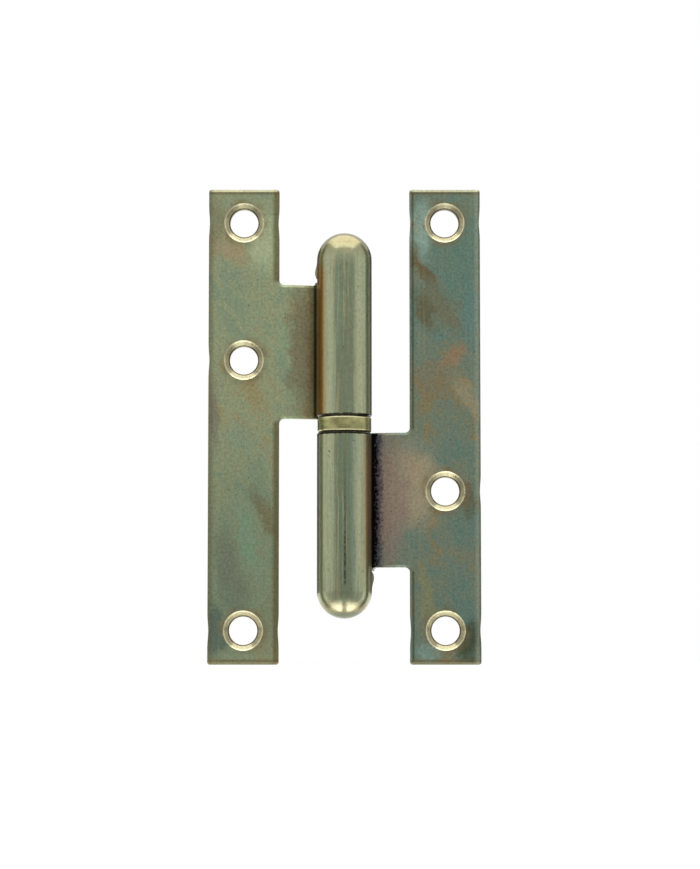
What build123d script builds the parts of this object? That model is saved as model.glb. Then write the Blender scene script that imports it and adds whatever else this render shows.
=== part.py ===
from build123d import *
import os
from math import acos, atan, atan2, cos, degrees, hypot, sin

# A lift-off door hinge (paumelle), opened flat.
# Each leaf is one piece of sheet: a tall strip for the screws, a short tab, and a root that is
# cranked back and rolled forward round the pin, then closed to a dome beyond the tab.
# The two leaves are the same pressing. One is turned end for end, and holds the pin.
# The pin axis is Z, the countersinks face -Y, and the middle of the ring is the origin.

# Sheet
sheet = 3.0
corner_radius = 0.8  # outer corners of the strip
inner_corner_radius = 1.5  # where the tab leaves the strip
front_edge_width = 0.7  # the punch draws the front edge down over this width
front_edge_drop = 0.3
back_edge_chamfer = 0.25

# Leaf, seen from the front
leaf_height = 140.0
half_width = 40.0  # from the pin axis to the outer edge of a leaf
strip_width = 20.8
tab_start_z = 2.1  # from the middle of the hinge to the near edge of the tab
tab_height = 39.5
closed_gap = 3.0  # between the two leaves when the hinge is shut

# Screw holes
hole_radius = 4.15
countersink_radius = 5.85
countersink_land = 0.3  # narrow flat step at the foot of the cone
countersink_depth = 1.0  # from the front face to the step
end_hole_margin = 9.9  # from the end of the leaf to the centre of an end hole
middle_hole_z = 19.3
waist_depth = 0.27  # the edge is drawn in a little beside each hole
waist_length = 10.0

# Pin
pin_radius = 5.0
running_clearance = 0.05  # between the pin and the knuckle that turns on it, on the radius
pin_chamfer = 0.6
pin_nose_length = 2.4  # tapered lead-in at the top of the pin
pin_nose_drop = 1.2  # how much the lead-in takes off the radius
pin_end_room = 4.6  # free bore between the end of the pin and the start of the upper dome

# Ring between the knuckles
ring_height = 4.2
ring_outer_radius = 7.9
ring_pin_clearance = 0.12
ring_gap = 0.2  # between the ring and each knuckle
ring_chamfer = 0.35

# Root and knuckle
flat_tab = 3.1  # flat part of the tab, from the strip to the crank
crank_radius = 3.0  # inside radius of the crank
seam_gap = 0.3  # between the free edge of the roll and the root
knuckle_extension = 7.0  # straight part of the knuckle beyond the tab
knuckle_end_chamfer = 0.45  # outer edge of the knuckle's open end
facing_margin = 0.5  # how far the facing of that end reaches past the knuckle
relief_radius = 1.0  # where the tab's far edge runs into the knuckle
seam_in_dome = 3.2  # how far the seam runs on into the dome

# Tail of the sheet that stands proud at the seam, just beyond the tab
tail_height = 0.6
tail_reach = 0.5  # how far it reaches in front of the pin axis
tail_start = 1.4  # from the tab to where it begins to stand out
tail_peak = 3.1

# Places that follow from the sizes above
front_y = closed_gap / 2
back_y = front_y + sheet
inner_x = half_width - strip_width
hole_x = half_width - strip_width / 2
end_hole_z = leaf_height / 2 - end_hole_margin
hole_heights = [-end_hole_z, middle_hole_z, end_hole_z]
countersink_foot = hole_radius + countersink_land
countersink_angle = 2 * degrees(atan((countersink_radius - countersink_foot) / countersink_depth))
tab_end_z = tab_start_z + tab_height
dome_z = tab_end_z + knuckle_extension
knuckle_end_z = ring_height / 2 + ring_gap
bore_radius = pin_radius + running_clearance
knuckle_radius = bore_radius + sheet

# The root leaves the flat tab at the crank and leans back until it is tangent to the roll
crank_x = inner_x - flat_tab
crank_centre_y = back_y + crank_radius
crank_centre = (-crank_x, crank_centre_y)
crank_lean = atan2(crank_x, crank_centre_y) - acos(
    (knuckle_radius + crank_radius) / hypot(crank_x, crank_centre_y)
)
crank_angle = degrees(crank_lean)

# The roll starts where the root touches it and stops short of the root's front face
roll_start = 90 + crank_angle
seam_angle = degrees(acos((bore_radius - seam_gap) / knuckle_radius))
roll_turn = 360 - seam_angle

# The proud tail is straight, and leaves the round of the knuckle at this angle
tail_end_radius = hypot(knuckle_radius + tail_height, tail_reach)
tail_lean = atan2(tail_reach, knuckle_radius + tail_height)
tail_angle = acos(knuckle_radius / tail_end_radius) - tail_lean

# Cranked root and roll, seen along the pin
with BuildSketch(Plane.XY.offset(tab_start_z)) as root_section:
    with BuildLine():
        front_bend = CenterArc(crank_centre, crank_radius + sheet, -90, crank_angle)
        back_bend = CenterArc(crank_centre, crank_radius, -90, crank_angle)
        bore = CenterArc((0, 0), bore_radius, roll_start, -roll_turn)
        outside = CenterArc((0, 0), knuckle_radius, roll_start, -roll_turn)
        Line(back_bend @ 0, front_bend @ 0)
        Line(front_bend @ 1, bore @ 0)
        Line(bore @ 1, outside @ 1)
        Line(outside @ 0, back_bend @ 1)
    make_face()

# Rounded corner where the tab's far edge runs into the knuckle, set square to the root
root_plane = Plane(origin=(0, 0, tab_end_z), x_dir=(cos(crank_lean), sin(crank_lean), 0), z_dir=(0, 0, 1))
corner_reach = (knuckle_radius + relief_radius - bore_radius * sin(crank_lean)) / cos(crank_lean)
corner_length = corner_reach - sheet / 2  # it ends inside the wall of the knuckle
with BuildPart(root_plane) as corner:
    with Locations((-corner_reach, bore_radius, 0)):
        Box(corner_length, sheet, relief_radius, align=(Align.MIN, Align.MIN, Align.MIN))
    with Locations((-corner_reach, bore_radius + sheet / 2, relief_radius)):
        Cylinder(relief_radius, sheet, rotation=(90, 0, 0), mode=Mode.SUBTRACT)

# Straight tail of the sheet at the seam of the closed part of the knuckle
with BuildPart() as tail:
    tail_root = knuckle_radius - sheet / 2
    with BuildSketch(Plane.XY.offset(tab_end_z)):
        with BuildLine():
            Polyline(
                (-knuckle_radius * cos(tail_angle), knuckle_radius * sin(tail_angle)),
                (-knuckle_radius - tail_height, -tail_reach),
                (-tail_root, -tail_reach),
                (-tail_root * cos(tail_angle), tail_root * sin(tail_angle)),
                close=True,
            )
        make_face()
    extrude(amount=knuckle_extension)
    # Its height rises quickly beyond the tab and dies away towards the dome
    with BuildSketch(Plane.XZ):
        with BuildLine():
            rise = Spline(
                (-knuckle_radius, tab_end_z + tail_start),
                (-knuckle_radius - tail_height, tab_end_z + tail_peak),
                (-knuckle_radius, dome_z),
                tangents=[(-1, 1), (0, 1)],
            )
            Polyline(rise @ 1, (-bore_radius, dome_z), (-bore_radius, tab_end_z + tail_start), rise @ 0)
        make_face()
    extrude(amount=knuckle_radius, both=True, mode=Mode.INTERSECT)

with BuildPart() as upper_leaf:
    # Strip and flat tab, with the strip drawn in beside the holes
    with BuildSketch(Plane.XZ.offset(-back_y)) as outline:
        with Locations((-hole_x, 0)):
            Rectangle(strip_width, leaf_height)
        fillet(outline.vertices(), corner_radius)
        waists = [(-half_width, -1, z) for z in hole_heights]
        waists += [(-inner_x, 1, z) for z in (-end_hole_z, end_hole_z)]
        for edge_x, side, z in waists:
            with BuildLine():
                waist = Spline(
                    (edge_x, z - waist_length / 2),
                    (edge_x - side * waist_depth, z),
                    (edge_x, z + waist_length / 2),
                    tangents=[(0, 1), (0, 1)],
                )
                Line(waist @ 1, waist @ 0)
            make_face(mode=Mode.SUBTRACT)
        with Locations((-crank_x, tab_start_z)):
            Rectangle(inner_x - crank_x + corner_radius, tab_height, align=(Align.MAX, Align.MIN))
        tab_corners = [
            outline.vertices().sort_by_distance((-inner_x, z))[0] for z in (tab_start_z, tab_end_z)
        ]
        fillet(tab_corners, inner_corner_radius)
    extrude(amount=sheet)
    extrude(root_section.sketch, amount=tab_height)

    # Edges left by the punch, run along the flat, the crank and the roll
    front_face = upper_leaf.faces().filter_by(Axis.Y).sort_by(Axis.Y)[0]
    chamfer(front_face.edges(), front_edge_width, front_edge_drop, reference=front_face)
    back_face = upper_leaf.faces().filter_by(Axis.Y).sort_by(Axis.Y)[-1]
    chamfer(back_face.edges(), back_edge_chamfer)

    # Screw holes, countersunk on the front
    with Locations(*[Plane.XZ * Pos(-hole_x, z, -front_y) for z in hole_heights]):
        CounterSinkHole(
            countersink_foot, countersink_radius, countersink_depth, counter_sink_angle=countersink_angle
        )
        Hole(hole_radius)

    # Closed part of the knuckle beyond the tab, started inside the roll to cover its bevelled edges
    with BuildSketch(Plane.XY.offset(tab_end_z - front_edge_width)):
        Circle(knuckle_radius)
        Circle(bore_radius, mode=Mode.SUBTRACT)
    extrude(amount=front_edge_width + knuckle_extension)
    with BuildSketch(Plane.XZ):
        with BuildLine():
            dome_outside = CenterArc((0, dome_z), knuckle_radius, 0, 90)
            dome_inside = CenterArc((0, dome_z), bore_radius, 0, 90)
            Line(dome_inside @ 0, dome_outside @ 0)
            Line(dome_inside @ 1, dome_outside @ 1)
        make_face()
    revolve(axis=Axis.Z)
    add(tail.part)
    add(corner.part)

    # Seam of the closed part, in front of the proud tail
    seam_height = knuckle_extension + seam_in_dome
    with Locations((-knuckle_radius, -tail_reach, tab_end_z)):
        Box(
            2 * sheet,
            seam_gap,
            seam_height,
            align=(Align.CENTER, Align.MAX, Align.MIN),
            mode=Mode.SUBTRACT,
        )

    # Open end of the knuckle, faced flat and bevelled
    facing_radius = knuckle_radius + facing_margin
    with BuildSketch(Plane.XZ):
        with BuildLine():
            Polyline(
                (0, 0),
                (facing_radius, 0),
                (facing_radius, knuckle_end_z + knuckle_end_chamfer),
                (knuckle_radius, knuckle_end_z + knuckle_end_chamfer),
                (knuckle_radius - knuckle_end_chamfer, knuckle_end_z),
                (0, knuckle_end_z),
                close=True,
            )
        make_face()
    revolve(axis=Axis.Z, mode=Mode.SUBTRACT)

with BuildPart() as lower_leaf:
    add(upper_leaf.part.rotate(Axis.Y, 180))

# Pin: pressed into the lower knuckle as far as its dome, and a running fit in the upper one
with BuildPart() as hinge_pin:
    pin_top_z = dome_z - pin_end_room
    with BuildSketch(Plane.XZ):
        with BuildLine():
            Polyline(
                (0, -dome_z),
                (bore_radius - pin_chamfer, -dome_z),
                (bore_radius, -dome_z + pin_chamfer),
                (bore_radius, -knuckle_end_z),
                (pin_radius, -knuckle_end_z),
                (pin_radius, pin_top_z - pin_nose_length),
                (pin_radius - pin_nose_drop, pin_top_z),
                (0, pin_top_z),
                close=True,
            )
        make_face()
    revolve(axis=Axis.Z)

with BuildPart() as friction_ring:
    with BuildSketch(Plane.XY.offset(-ring_height / 2)):
        Circle(ring_outer_radius)
        Circle(pin_radius + ring_pin_clearance, mode=Mode.SUBTRACT)
    extrude(amount=ring_height)
    outer_edges = friction_ring.edges().filter_by(GeomType.CIRCLE).sort_by(SortBy.RADIUS)[-2:]
    chamfer(outer_edges, ring_chamfer)

upper_leaf.part.label = "upper_leaf"
lower_leaf.part.label = "lower_leaf"
hinge_pin.part.label = "hinge_pin"
friction_ring.part.label = "friction_ring"

os.makedirs("parts", exist_ok=True)
export_step(upper_leaf.part, "parts/upper_leaf.step")
export_step(lower_leaf.part, "parts/lower_leaf.step")
export_step(hinge_pin.part, "parts/hinge_pin.step")
export_step(friction_ring.part, "parts/friction_ring.step")
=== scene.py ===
"""A lift-off door hinge in yellow-chromated zinc plate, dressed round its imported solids.

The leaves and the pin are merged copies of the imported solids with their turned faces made
finer and shaded smooth. The ring between the knuckles is grown by Geometry Nodes.
"""

import math
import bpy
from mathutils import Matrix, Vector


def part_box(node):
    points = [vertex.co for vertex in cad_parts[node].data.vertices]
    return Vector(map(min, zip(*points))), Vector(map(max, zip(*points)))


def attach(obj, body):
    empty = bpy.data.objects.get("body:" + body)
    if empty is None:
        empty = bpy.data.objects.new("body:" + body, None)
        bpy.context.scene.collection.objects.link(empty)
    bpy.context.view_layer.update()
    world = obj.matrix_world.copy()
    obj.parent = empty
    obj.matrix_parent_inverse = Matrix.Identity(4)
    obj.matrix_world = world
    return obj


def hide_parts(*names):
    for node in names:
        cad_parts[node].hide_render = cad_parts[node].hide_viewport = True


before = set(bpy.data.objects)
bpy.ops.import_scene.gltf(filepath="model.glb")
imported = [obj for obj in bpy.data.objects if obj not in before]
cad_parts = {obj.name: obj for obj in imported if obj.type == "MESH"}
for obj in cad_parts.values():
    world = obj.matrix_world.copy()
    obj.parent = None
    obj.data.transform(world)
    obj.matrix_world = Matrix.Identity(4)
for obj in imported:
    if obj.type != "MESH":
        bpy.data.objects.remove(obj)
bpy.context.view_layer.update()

from types import SimpleNamespace

import bmesh
import bpy
from bpy.props import FloatProperty, FloatVectorProperty, IntProperty, PointerProperty
from mathutils import Vector

bl_info = {
    "name": "Lift-off Door Hinge",
    "version": (1, 0, 0),
    "blender": (4, 5, 0),
    "location": "3D View > Sidebar > Hinge",
    "description": "Dresses the solids of a lift-off door hinge with plated, turned and drawn metal",
    "category": "Object",
}

MM = 0.001

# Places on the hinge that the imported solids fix, in metres
KNUCKLE_RADIUS = 0.00805
KNUCKLE_END = 0.0023
KNUCKLE_BEVEL = 0.00045
BORE_RADIUS = 0.00505
DOME_START = 0.0486
LEAF_FRONT = 0.0015
LEAF_BACK = 0.0045
HOLE_X = 0.0296
HOLE_HEIGHTS = (-0.0601, 0.0193, 0.0601)
HOLE_RADIUS = 0.00415
CONE_RADIUS = 0.00585
CONE_FOOT_RADIUS = 0.00445
CONE_DEPTH = 0.0010
TAB_START = 0.0021
TAB_END = 0.0416
TAB_MIDDLE = (TAB_START + TAB_END) / 2
TAB_HALF = (TAB_END - TAB_START) / 2
PIN_RADIUS = 0.0050
PIN_CHAMFER = 0.0006
PIN_NOSE_LENGTH = 0.0024
PIN_NOSE_RADIUS = 0.0038

# How near corners have to be to be joined, to be on a cutting plane and to be within a turned face
JOIN_GAP = 1e-6
PLANE_GAP = 2e-7
FACE_GAP = 2e-6

# The stage, with its lengths in metres and its angles in radians
AIM = (0.00164, 0, -0.00279)
NEAREST_SEEN = 0.01
FARTHEST_SEEN = 20
FLOOR_HEIGHT = -0.0706
FLOOR_RADIUS = 6
FLOOR_CORNERS = 64
ROOM_LEVEL = 1.15
CARD_STEPS = 24
CARD_FOOT = -0.07
CARD_DISTANCE = 1.1
CARD_GRADE_HEIGHT = 0.32
FRONT_CARD_TOP = 0.4
FRONT_CARD_SPREAD = math.radians(44)
SIDE_CARD_TOP = 0.5
SIDE_CARD_BEARING = math.radians(147)
SIDE_CARD_SPREAD = math.radians(17)
FLOOR_CARD_HEIGHT = -0.0705
FLOOR_CARD_SIDE = 1
FLOOR_CARD_FRONT = -1.09
FLOOR_CARD_BACK = -0.014
TOP_LAMP_PLACE = (0, -0.02, 0.62)
TOP_LAMP_SIZE = (0.9, 0.84)
FOOT_LAMP_Y = -0.038
FOOT_LAMP_HEIGHT = -0.0702
FOOT_LAMP_DEPTH = 0.07
FOOT_LAMP_SPREAD = math.radians(100)
INNER_FOOT_LAMP = (0.003, 0.022)
OUTER_FOOT_LAMP = (0.022, 0.121)

# The ring's mesh
RING_EDGE_STEPS = 4
RING_SECTION_STEP = 0.1 * MM
RING_SKIN = 0.02 * MM


def linear(code):
    """Linear colour of an sRGB hex code such as #8c9170."""
    parts = [int(code[i:i + 2], 16) / 255 for i in (1, 3, 5)]
    return tuple(c / 12.92 if c <= 0.04045 else ((c + 0.055) / 1.055) ** 2.4 for c in parts)


def node(tree, kind, inputs=None, **settings):
    """Adds a node to a tree, sets its settings, and sets or links its inputs.

    A name means the first input in use that has it. A node as a value means its first output
    in use.
    """
    made = tree.nodes.new(kind)
    for name, value in settings.items():
        setattr(made, name, value)
    for key, value in (inputs or {}).items():
        named = [s for s in made.inputs if s.enabled and s.name == key]
        socket = named[0] if named else made.inputs[key]
        if isinstance(value, bpy.types.Node):
            value = next(s for s in value.outputs if s.enabled)
        if isinstance(value, bpy.types.NodeSocket):
            tree.links.new(value, socket)
        else:
            socket.default_value = (*value[:3], 1.0) if socket.type == "RGBA" else value
    return made


# Settings

def colour_setting(name, description, code):
    """A colour that a user may change, from an sRGB hex code."""
    return FloatVectorProperty(
        name=name, description=description, default=linear(code), size=3, min=0, max=1, subtype="COLOR")


class HingeLeafSettings(bpy.types.PropertyGroup):
    """Sizes and colours of the two plated leaves"""

    facet_angle: FloatProperty(
        name="Facet angle", description="Turn between the facets of the knuckles and holes",
        default=math.radians(5), min=math.radians(1), max=math.radians(20), subtype="ANGLE")
    smooth_angle: FloatProperty(
        name="Smooth angle", description="Edges that turn more than this stay sharp",
        default=math.radians(21), min=0, max=math.pi, subtype="ANGLE")
    sage: colour_setting("Sage", "Chromate film of the leaf that lifts off", "#949b79")
    moss: colour_setting("Moss", "Thinner film on the leaf that lifts off", "#81937a")
    straw: colour_setting("Straw", "Thicker film on the leaf that lifts off", "#998f6a")
    slate: colour_setting("Slate", "Chromate film of the leaf that stays", "#75806e")
    teal: colour_setting("Teal", "Thinner film on the leaf that stays", "#657f73")
    umber: colour_setting("Umber", "Thicker film on the leaf that stays", "#887c58")
    rolled: colour_setting("Rolled", "Film on the burnished knuckles", "#9da283")
    # Painted reflection: a darker band down the front of the knuckles
    dark_reflection: colour_setting("Crown", "Darker film along the front of the knuckles", "#737d64")
    countersunk: colour_setting("Countersunk", "Brighter film on the cut countersinks", "#9b9577")
    grain_depth: FloatProperty(
        name="Grain depth", description="Depth of the rolled sheet's grain",
        default=0.004 * MM, min=0, max=0.1 * MM, unit="LENGTH")


class HingePinSettings(bpy.types.PropertyGroup):
    """Size and colour of the pin"""

    facet_angle: FloatProperty(
        name="Facet angle", description="Turn between the facets of the pin",
        default=math.radians(5), min=math.radians(1), max=math.radians(20), subtype="ANGLE")
    smooth_angle: FloatProperty(
        name="Smooth angle", description="Edges that turn more than this stay sharp",
        default=math.radians(20), min=0, max=math.pi, subtype="ANGLE")
    steel: colour_setting("Steel", "Drawn steel of the pin", "#b4b3ae")


class HingeRingSettings(bpy.types.PropertyGroup):
    """Sizes and colour of the turned ring"""

    inner_radius: FloatProperty(
        name="Inner radius", description="Radius of the ring's hole",
        default=5.12 * MM, min=1 * MM, unit="LENGTH")
    outer_radius: FloatProperty(
        name="Outer radius", description="Radius of the ring's outside",
        default=7.9 * MM, min=2 * MM, unit="LENGTH")
    height: FloatProperty(
        name="Height", description="Height of the ring along the pin",
        default=4.2 * MM, min=1 * MM, unit="LENGTH")
    edge_radius: FloatProperty(
        name="Edge radius", description="Radius of the ring's four edges",
        default=0.35 * MM, min=0, unit="LENGTH")
    groove_depth: FloatProperty(
        name="Groove depth", description="Depth of the turning marks",
        default=0.012 * MM, min=0, unit="LENGTH")
    groove_spacing: FloatProperty(
        name="Groove spacing", description="Distance between turning marks",
        default=0.42 * MM, min=0.05 * MM, unit="LENGTH")
    steps_round: IntProperty(
        name="Steps round", description="Facets round the ring", default=120, min=24, max=360)
    brass: colour_setting("Brass", "Turned brass of the ring", "#aba875")


class HingeStageSettings(bpy.types.PropertyGroup):
    """Camera, floor and studio light"""

    camera_distance: FloatProperty(
        name="Camera distance", description="From the middle of the hinge to the camera",
        default=0.80, min=0.1, unit="LENGTH")
    camera_drop: FloatProperty(
        name="Camera drop", description="How far the line of sight comes from below level",
        default=math.radians(5.0), subtype="ANGLE")
    lens: FloatProperty(
        name="Lens", description="Focal length on a sensor 36 mm long", default=113.1, min=10)
    front_level: FloatProperty(
        name="Front level", description="Brightness of the grey card behind the camera",
        default=0.78, min=0, max=1)
    front_rise: FloatProperty(
        name="Front rise", description="How much brighter the grey card is higher up",
        default=0.08, min=0, max=1)
    side_level: FloatProperty(
        name="Side level", description="Brightness of the dark cards behind and beside the hinge",
        default=0.16, min=0, max=1)
    top_level: FloatProperty(
        name="Top level", description="Brightness of the wide lamp above", default=1.85, min=0)
    foot_level: FloatProperty(
        name="Foot level", description="Brightness of the two small lamps under the knuckles",
        default=1.3, min=0)
    outer_foot_level: FloatProperty(
        name="Outer foot level", description="Brightness of the two lamps under the leaves",
        default=0.73, min=0)
    floor_level: FloatProperty(
        name="Floor level", description="Brightness of the grey card that lies in front of the hinge",
        default=0.65, min=0, max=1)
    paper: colour_setting("Paper", "Pale paper floor", "#f0efec")


# Meshes

def merged_copy(source, name):
    """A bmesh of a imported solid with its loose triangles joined."""
    mesh = bpy.data.meshes.new(name)
    mesh.from_pydata(
        [v.co[:] for v in source.data.vertices], [], [p.vertices[:] for p in source.data.polygons])
    joined = bmesh.new()
    joined.from_mesh(mesh)
    bpy.data.meshes.remove(mesh)
    bmesh.ops.remove_doubles(joined, verts=joined.verts, dist=JOIN_GAP)
    return joined


def on_cone(centre, axis, near, far, slack=0.12 * MM):
    """True place on a cone or cylinder. near and far are (height, radius) at its two ends."""
    centre, axis = Vector(centre), Vector(axis)

    def place(co):
        height = (co - centre).dot(axis)
        if not near[0] - FACE_GAP <= height <= far[0] + FACE_GAP:
            return None
        share = (height - near[0]) / (far[0] - near[0])
        radius = near[1] + (far[1] - near[1]) * share
        outward = co - centre - axis * height
        if abs(outward.length - radius) > slack:
            return None
        return centre + axis * height + outward.normalized() * radius

    return place


def on_ball(centre, radius, axis, slack=0.12 * MM):
    """True place on the half of a ball that lies along axis from its centre."""
    centre, axis = Vector(centre), Vector(axis)

    def place(co):
        outward = co - centre
        if outward.dot(axis) < -FACE_GAP or abs(outward.length - radius) > slack:
            return None
        return centre + outward.normalized() * radius

    return place


def turn_finer(joined, place, planes):
    """Cuts the faces that lie on a turned surface by planes and puts the new corners on it."""
    for point, normal in planes:
        faces = [f for f in joined.faces if all(place(v.co) for v in f.verts)]
        parts = list({e for f in faces for e in f.edges}) + list({v for f in faces for v in f.verts})
        cut = bmesh.ops.bisect_plane(
            joined, geom=faces + parts, dist=PLANE_GAP, plane_co=point, plane_no=normal)
        for made in cut["geom_cut"]:
            if isinstance(made, bmesh.types.BMVert):
                true = place(made.co)
                if true:
                    made.co = true


def fan(centre, axis, step):
    """Planes through an axis, one every step, as (point, normal) pairs."""
    axis = Vector(axis)
    across = axis.orthogonal().normalized()
    up = axis.cross(across)
    count = round(math.pi / step)
    turns = [math.pi * (i + 0.5) / count for i in range(count)]
    return [(Vector(centre), across * math.cos(t) + up * math.sin(t)) for t in turns]


def plain_mesh(piece, context):
    """A new mesh of an object as its modifiers leave it."""
    return bpy.data.meshes.new_from_object(piece.evaluated_get(context.evaluated_depsgraph_get()))


def finished_piece(joined, name, smooth_angle):
    """Makes an object of a bmesh, smooth except at edges that turn more than smooth_angle."""
    bmesh.ops.triangulate(joined, faces=[f for f in joined.faces if len(f.verts) > 4])
    for face in joined.faces:
        face.smooth = True
    for edge in joined.edges:
        edge.smooth = edge.is_manifold and edge.calc_face_angle(0) < smooth_angle
    mesh = bpy.data.meshes.new(name)
    joined.to_mesh(mesh)
    joined.free()
    piece = bpy.data.objects.new(name, mesh)
    bpy.context.scene.collection.objects.link(piece)
    weighted = piece.modifiers.new("Even shading", "WEIGHTED_NORMAL")
    weighted.keep_sharp = True
    weighted.weight = 50
    shaded = plain_mesh(piece, bpy.context)
    piece.modifiers.clear()
    piece.data = shaded
    bpy.data.meshes.remove(mesh)
    shaded.name = name
    return piece


def leaf_mesh(source, name, hand, settings):
    """A leaf with round knuckle, dome and holes. hand is 1 for the leaf that lifts off, or -1."""
    joined = merged_copy(source, name)
    step = settings.facet_angle
    up = Vector((0, 0, hand))
    for near, far in (
        ((KNUCKLE_END, KNUCKLE_RADIUS), (DOME_START, KNUCKLE_RADIUS)),
        ((KNUCKLE_END - 0.1 * MM, KNUCKLE_RADIUS - KNUCKLE_BEVEL),
         (KNUCKLE_END + KNUCKLE_BEVEL, KNUCKLE_RADIUS)),
        ((KNUCKLE_END, BORE_RADIUS), (DOME_START, BORE_RADIUS)),
    ):
        turn_finer(joined, on_cone((0, 0, 0), up, near, far), fan((0, 0, 0), up, step))
    dome_centre = up * DOME_START
    rings = [(dome_centre + up * KNUCKLE_RADIUS * math.sin(step * (i + 1)), up)
             for i in range(int(math.pi / 2 / step) - 1)]
    turn_finer(joined, on_ball(dome_centre, KNUCKLE_RADIUS, up), fan(dome_centre, up, step) + rings)
    inward = Vector((0, 1, 0))
    for height in HOLE_HEIGHTS:
        centre = Vector((-hand * HOLE_X, LEAF_FRONT, hand * height))
        for near, far in (
            ((0, CONE_RADIUS), (CONE_DEPTH, CONE_FOOT_RADIUS)),
            ((CONE_DEPTH, HOLE_RADIUS), (LEAF_BACK - LEAF_FRONT, HOLE_RADIUS)),
        ):
            turn_finer(joined, on_cone(centre, inward, near, far), fan(centre, inward, step))
    return finished_piece(joined, name, settings.smooth_angle)


# Films of the leaves, with painted shade, highlight and reflection among them. All sizes below are in mm, and
# away is the distance from the pin's axis

# Widths in which the noises move the edges of the stains, of the painted reflection down the
# knuckle and of the painted shade and reflection beside the crevice
STAIN_WANDER = 9.0
DARK_REFLECTION_WANDER = 7.0
CREVICE_SHADE_WANDER = 5.0

# How far a stain reaches through the sheet, and how much of it shows on the back
STAIN_DEPTH = 50.0
STAIN_BEHIND = 0.4

# Noise level at which the film is plain, and those at which it is thinnest and thickest
PLAIN_TO = 0.52
THIN_FROM = 0.39
THICK_FROM = 0.63

# Place of the dark line beside the middle of the knuckle
DARK_LINE_X = 0.15

# The leaf that lifts off
LIFTING_LEAF = SimpleNamespace(
    hand=1,

    # Where the painted reflection, a dark band down the front of the knuckle, begins to fade and is gone,
    # along the pin
    dark_reflection_fade=(46.0, 50.5),

    # Tints over the dome, cream where the lamps' highlights fall, a painted highlight colour: where each
    # starts and is full along the pin, strength, colour
    dome_tints_and_highlight=(
        (48.5, 53.2, 0.8, "#8a7f5c"),
    ),

    # How far along the pin the painted shade over the knuckle's open end reaches at most
    joint_shade_reach=3.2,

    # Stains: x, z, half width, half height, lean in degrees (to the left at the top when
    # negative), strength, colour
    stains=(
        (-30.0, -45.0, 30.0, 50.0, 0, 0.55, "#75866e"),
        (-38.0, 59.0, 3.0, 12.0, 0, 0.5, "#837252"),
        (-24.0, 54.0, 6.0, 12.0, 0, 0.6, "#b5c099"),
        (-33.5, 51.0, 5.0, 7.0, -50, 0.6, "#a4916e"),
        (-29.0, 33.0, 6.0, 5.0, 0, 0.6, "#8a987a"),
        (-17.5, 25.0, 4.0, 10.0, 0, 0.6, "#8a9e7f"),
        # This stain over the tab is painted reflection of the knuckle's brown side
        (-12.5, 23.0, 6.0, 28.0, 0, 0.8, "#7c7559"),
        (-26.0, 8.5, 4.5, 7.0, -35, 0.7, "#9a8c64"),
        (-38.0, 2.0, 3.0, 14.0, 0, 0.7, "#7b7767"),
        (-30.0, -3.0, 6.0, 6.0, 0, 0.5, "#7f9780"),
        (-23.0, -26.0, 3.2, 12.0, -30, 0.6, "#726544"),
        (-28.5, -33.0, 4.0, 14.0, -12, 0.6, "#78997f"),
        (-33.0, -43.0, 6.0, 18.0, -10, 0.55, "#6a7062"),
        (-38.0, -60.0, 4.0, 12.0, 0, 0.8, "#586960"),
        (-22.0, -54.0, 3.5, 8.0, 0, 0.6, "#81896a"),
    ),

    # Painted shade and reflection beside the crevice: near-black and dark violet shade in and next to
    # it, and brown and orange painted reflection on the tab and the knuckle's side. Bands outwards from
    # the pin's axis towards the tab: where each starts, is full, begins to fade and is gone, whether it
    # ends ragged, how far along the knuckle it reaches from the tab's middle and over what length it
    # runs out, strength, colour
    crevice_shade_bands=(
        (8.6, 9.0, 10.0, 12.5, True, 20.6, 2.0, 0.45, "#857252"),
        (4.8, 7.0, 7.9, 8.2, False, 31.0, 11.0, 0.95, "#9c6c2b"),
        (8.1, 8.4, 8.8, 9.3, False, 20.6, 2.0, 0.85, "#2c2010"),
    ),

    # Bands along the outer edge and, counted inwards, along the inner edge, by away: where each
    # starts, is full, begins to fade and is gone, strength, colour
    outer_bands=(
        (38.2, 39.5, 41.0, 42.0, 0.6, "#605b45"),
    ),
    inner_bands=(
        (21.4, 20.4, 18.4, 18.0, 0.75, "#645b3c"),
    ),
)

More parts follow.
